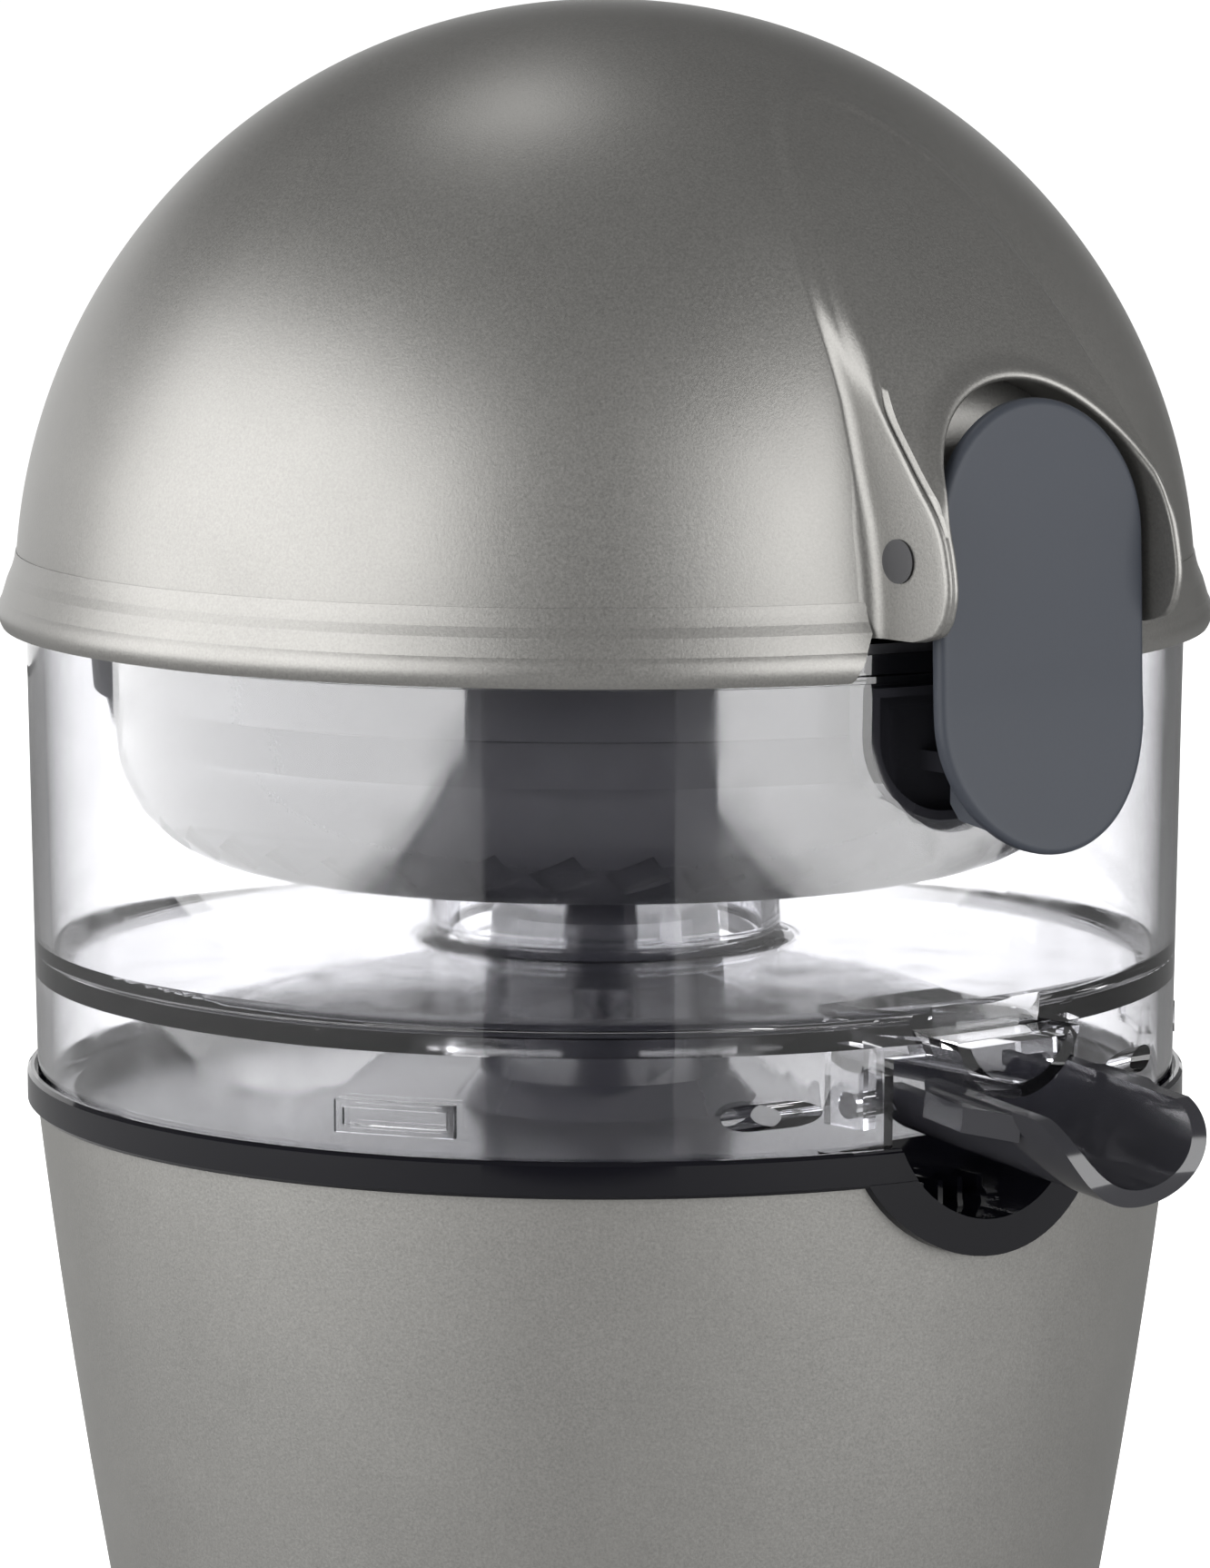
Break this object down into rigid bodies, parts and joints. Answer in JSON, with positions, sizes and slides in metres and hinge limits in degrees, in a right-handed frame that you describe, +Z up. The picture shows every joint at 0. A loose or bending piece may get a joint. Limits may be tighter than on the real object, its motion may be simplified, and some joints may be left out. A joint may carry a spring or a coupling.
{
  "type": "citrus press juicer",
  "caption": "Round motor base with a clear juice bowl and folding spout, a domed lid on a rear hinge with a front latch, and a spring press over a geared reamer.",
  "frame": {"origin": "centre of the foot ring, on the surface the juicer stands on", "axes": "+Z up along the axis of the motor base and lid, -Y to the front, where the spout and the latch are"},
  "size_m": [0.1916, 0.2288, 0.308],
  "materials": {
    "rubber_black": "matte rubber",
    "moulded_dark": "moulded, matte",
    "screw_steel": "zinc plated",
    "body_paint": "satin metallic paint",
    "lid_paint": "satin metallic paint",
    "rim_paint": "satin metallic paint",
    "gloss_black": "gloss",
    "deck_black": "semi-gloss",
    "sintered_bronze": "oil-filled sintered bronze",
    "chassis_steel": "galvanised sheet",
    "gear_housing": "moulded, matte",
    "ground_steel": "ground",
    "gear_nylon": "natural nylon",
    "motor_steel": "drawn steel",
    "ferrite": "ferrite",
    "core_steel": "laminated steel",
    "commutator_copper": "copper bars",
    "brush_carbon": "carbon",
    "circuit_board": "lacquered board",
    "rocker_black": "gloss",
    "clear_bowl": "clear styrene plastic, polished",
    "seat_black": "gloss",
    "hinge_black": "fine-textured plastic",
    "strainer_grey": "semi-gloss grey",
    "reamer_black": "semi-gloss",
    "spout_black": "gloss",
    "liner_grey": "moulded, matte",
    "latch_slate": "satin slate plastic",
    "pin_dark": "blackened",
    "spring_steel": "drawn wire",
    "cup_black": "semi-gloss"
  },
  "bodies": {
    "base": {"foot_ring": "rubber_black", "base_plate": "moulded_dark", "base_screws": "screw_steel", "body_shell": "body_paint", "collar_ring": "gloss_black", "deck": "deck_black", "shaft_bushes": "sintered_bronze", "shaft_seal": "rubber_black", "chassis_plate": "chassis_steel", "chassis_screws": "screw_steel", "gearbox_case": "gear_housing", "gearbox_cover": "gear_housing", "gearbox_screws": "screw_steel", "idler_axle": "ground_steel", "motor_can": "motor_steel", "motor_endplate": "motor_steel", "motor_bushes": "sintered_bronze", "motor_screws": "screw_steel", "motor_magnets": "ferrite", "brushes": "brush_carbon", "brush_holders": "moulded_dark", "rectifier_board": "circuit_board", "switch_housing": "moulded_dark", "cord_grommet": "rubber_black"},
    "armature": {"armature_core": "core_steel", "motor_shaft": "ground_steel", "commutator": "commutator_copper", "cooling_fan": "moulded_dark", "motor_pinion": "ground_steel"},
    "idler": {"idler_gear": "gear_nylon"},
    "output": {"output_gear": "gear_nylon", "drive_shaft": "ground_steel", "shaft_clip": "screw_steel"},
    "bowl": {"juice_bowl": "clear_bowl", "outlet_nozzle": "clear_bowl", "latch_catch": "seat_black", "hinge_bracket": "hinge_black", "hinge_pin": "ground_steel", "strainer": "strainer_grey"},
    "spout": {"spout": "spout_black"},
    "reamer": {"reamer": "reamer_black"},
    "dome": {"dome_shell": "lid_paint", "dome_rim": "rim_paint", "dome_liner": "liner_grey", "guide_bush": "gear_nylon", "hinge_arm": "hinge_black", "latch_pin": "pin_dark", "latch_spring": "spring_steel", "press_spring": "spring_steel"},
    "latch": {"latch_lever": "latch_slate"},
    "press": {"press_cup": "cup_black", "press_rod": "ground_steel"},
    "rocker": {"power_rocker": "rocker_black"}
  },
  "joints": [
    {"name": "armature_spin", "type": "hinge", "parent": "base", "child": "armature", "pos_m": [0, 0.005, 0.07], "axis": [0, 0, 1], "continuous": true},
    {"name": "idler_spin", "type": "hinge", "parent": "base", "child": "idler", "pos_m": [0, 0.035, 0.11], "axis": [0, 0, 1], "continuous": true},
    {"name": "output_spin", "type": "hinge", "parent": "base", "child": "output", "pos_m": [0, 0, 0.12], "axis": [0, 0, 1], "continuous": true},
    {"name": "power_switch", "type": "hinge", "parent": "base", "child": "rocker", "pos_m": [0, 0.07606, 0.04418], "axis": [-1, 0, 0], "range_deg": [0, 16]},
    {"name": "bowl_lift", "type": "slide", "parent": "base", "child": "bowl", "axis": [0, 0, 1], "range_m": [0, 0.09]},
    {"name": "reamer_spin", "type": "hinge", "parent": "bowl", "child": "reamer", "pos_m": [0, 0, 0.18], "axis": [0, 0, 1], "continuous": true},
    {"name": "spout_flip", "type": "hinge", "parent": "bowl", "child": "spout", "pos_m": [0, -0.081, 0.146], "axis": [-1, 0, 0], "range_deg": [0, 20]},
    {"name": "dome_hinge", "type": "hinge", "parent": "bowl", "child": "dome", "pos_m": [0, 0.1015, 0.209], "axis": [-1, 0, 0], "range_deg": [0, 100]},
    {"name": "latch_pivot", "type": "hinge", "parent": "dome", "child": "latch", "pos_m": [0, -0.0952, 0.2284], "axis": [-1, 0, 0], "range_deg": [0, 15], "stiffness_Nm_per_rad": 0.06, "springref_deg": -17.19},
    {"name": "press_slide", "type": "slide", "parent": "dome", "child": "press", "axis": [0, 0, 1], "range_m": [0, 0.03], "stiffness_N_per_m": 600, "springref_m": -0.02, "deforming": ["press_spring"]}
  ],
  "couplings": [
    {"joint": "idler_spin", "follows": "armature_spin", "ratio": -0.25},
    {"joint": "output_spin", "follows": "armature_spin", "ratio": 0.0625},
    {"joint": "reamer_spin", "follows": "armature_spin", "ratio": 0.0625}
  ]
}
